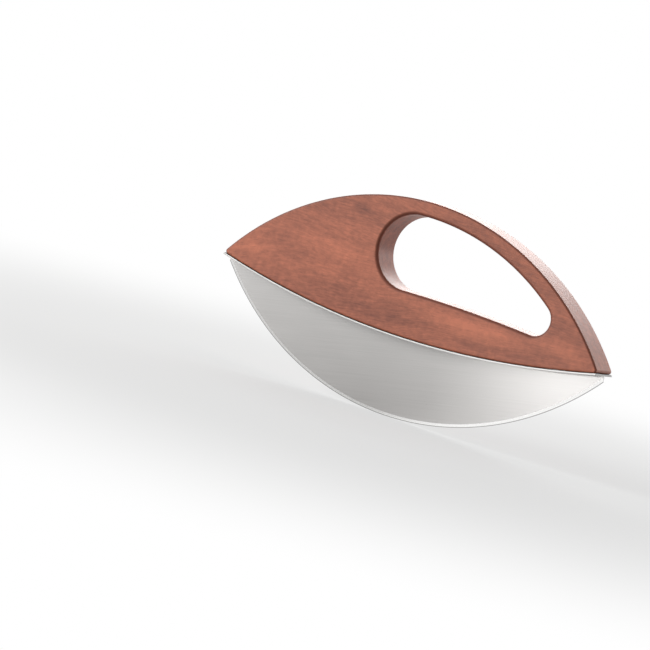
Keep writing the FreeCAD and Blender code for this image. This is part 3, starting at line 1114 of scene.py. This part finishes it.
class KNIFE_OT_collar_screws(bpy.types.Operator):
    """Model the countersunk screws that hold the collar"""
    bl_idname = "knife.collar_screws"
    bl_label = "Collar screws"

    def execute(self, context):
        sizes, finish = context.scene.knife_screws, context.scene.knife_finishes
        handle, blade = context.scene.knife_handle, context.scene.knife_blade
        curves = HandleCurves(handle)
        steel = brushed_steel("Plain screw steel", finish.screw_steel, finish.screw_roughness,
                              SCREW_TURNING, contrast=0.05)
        screw = screw_object(sizes)
        shoulder = curves.belly_hub.y - blade.height
        mesh = screw_row_shape().make_mesh("turned_screws", {
            "Screw": screw, "Per Side": sizes.per_side,
            "Reach": handle.length / 2 - sizes.end_margin,
            "Radius": shoulder - sizes.sink, "Hub Height": curves.belly_hub.y,
            "Side Offset": (handle.thickness + blade.thickness) / 4, "Material": steel})
        bpy.data.objects.remove(screw)
        place_piece(mesh, "collar_screws")
        return {"FINISHED"}


class KNIFE_OT_studio(bpy.types.Operator):
    """Set up the floor, the soft lamps, the white surroundings and the camera"""
    bl_idname = "knife.studio"
    bl_label = "Studio"

    def execute(self, context):
        studio = context.scene.knife_studio
        add_floor(studio)
        add_lamps(studio)
        add_world(studio)
        add_camera(studio)
        context.scene.view_settings.view_transform = "Standard"
        return {"FINISHED"}


# Studio
Lamp = namedtuple("Lamp", "name place aim width height")
MIDDLE = (CAD_BOX[0] + CAD_BOX[1]) / 2
CLIP_RATIO = 100            # between the camera's distance and the ends of what it sees
LAMPS = (
    Lamp("key", Vector((-1.70, -1.35, 0.85)), MIDDLE, 1.2, 1.2),
    Lamp("top", Vector((0.10, 0.30, 1.40)), MIDDLE, 1.4, 1.2),
    Lamp("back", Vector((-0.66, 1.05, 0.62)), MIDDLE, 1.2, 0.8),
    Lamp("fill", Vector((0.06, 1.25, 0.64)), MIDDLE, 0.4, 0.8),
    Lamp("side", Vector((0.58, 1.22, 0.42)), MIDDLE, 0.5, 0.3),
    Lamp("strip", Vector((-0.13, -0.57, 0.04)), Vector((0.15, 0.0, 0.04)), 0.10, 0.07),
)


def add_floor(studio):
    half = studio.floor_size / 2
    corners = [(-half, -half, 0), (half, -half, 0), (half, half, 0), (-half, half, 0)]
    mesh = bpy.data.meshes.new("studio_floor")
    mesh.from_pydata(corners, [], [(0, 1, 2, 3)])
    mesh.materials.append(floor_material(studio))
    floor = bpy.data.objects.new("studio_floor", mesh)
    bpy.context.scene.collection.objects.link(floor)


def add_lamps(studio):
    for lamp in LAMPS:
        light = bpy.data.lights.new(lamp.name + "_lamp", "AREA")
        light.energy = getattr(studio, lamp.name + "_power")
        light.shape = "RECTANGLE"
        light.size = lamp.width
        light.size_y = lamp.height
        thing = bpy.data.objects.new(light.name, light)
        thing.visible_camera = False
        thing.location = lamp.place
        thing.rotation_euler = (lamp.aim - lamp.place).to_track_quat("-Z", "Y").to_euler()
        bpy.context.scene.collection.objects.link(thing)


def add_world(studio):
    """Even soft light, with white where the camera, metal or glass looks past the floor."""
    world = bpy.data.worlds.new("Studio surroundings")
    world.use_nodes = True
    tree = world.node_tree
    tree.nodes.clear()
    white_share = maths(tree, "MAXIMUM", *ray_kinds(tree))
    soft = add(tree, "ShaderNodeBackground", {"Color": WHITE, "Strength": studio.ambient})
    white = add(tree, "ShaderNodeBackground", {"Color": WHITE, "Strength": 1.0})
    end_in_mix(tree, "ShaderNodeOutputWorld", white_share, soft, white)
    bpy.context.scene.world = world


def add_camera(studio):
    around, above, roll = studio.azimuth, studio.elevation, studio.roll
    back = Vector((math.sin(around) * math.cos(above), -math.cos(around) * math.cos(above),
                   math.sin(above)))
    level = Vector((math.cos(around), math.sin(around), 0.0))
    upright = back.cross(level)
    right = level * math.cos(roll) + upright * math.sin(roll)
    up = upright * math.cos(roll) - level * math.sin(roll)
    data = bpy.data.cameras.new("photo_camera")
    data.lens = studio.focal_pixels / IMAGE_SIDE * data.sensor_width
    data.clip_start, data.clip_end = studio.distance / CLIP_RATIO, studio.distance * CLIP_RATIO
    camera = bpy.data.objects.new("photo_camera", data)
    turn = Matrix((right, up, back)).transposed().to_4x4()
    camera.matrix_world = Matrix.Translation(Vector(studio.aim) + back * studio.distance) @ turn
    bpy.context.scene.collection.objects.link(camera)
    bpy.context.scene.camera = camera


class KNIFE_PT_sidebar(bpy.types.Panel):
    """Steps and settings of the rocking pizza knife"""
    bl_idname = "KNIFE_PT_sidebar"
    bl_label = "Rocking pizza knife"
    bl_space_type = "VIEW_3D"
    bl_region_type = "UI"
    bl_category = "Knife"

    def draw(self, context):
        for step in STEPS:
            self.layout.operator(step.bl_idname)
        for name in SETTINGS:
            box = self.layout.box()
            settings = getattr(context.scene, name)
            for prop in settings.__annotations__:
                box.prop(settings, prop)


SETTINGS = {
    "knife_handle": KnifeHandleSizes,
    "knife_blade": KnifeBladeSizes,
    "knife_screws": KnifeScrewSizes,
    "knife_finishes": KnifeFinishes,
    "knife_studio": KnifeStudio,
}
STEPS = (KNIFE_OT_wooden_handle, KNIFE_OT_blade, KNIFE_OT_collar, KNIFE_OT_collar_screws,
         KNIFE_OT_studio)
CLASSES = (*SETTINGS.values(), *STEPS, KNIFE_PT_sidebar)


def register():
    for cls in CLASSES:
        bpy.utils.register_class(cls)
    for name, cls in SETTINGS.items():
        setattr(bpy.types.Scene, name, PointerProperty(type=cls))


def unregister():
    for name in SETTINGS:
        delattr(bpy.types.Scene, name)
    for cls in reversed(CLASSES):
        bpy.utils.unregister_class(cls)


def main():
    register()
    bpy.ops.knife.wooden_handle()
    bpy.ops.knife.blade()
    bpy.ops.knife.collar()
    bpy.ops.knife.collar_screws()
    bpy.ops.knife.studio()


if __name__ == "__main__":
    main()
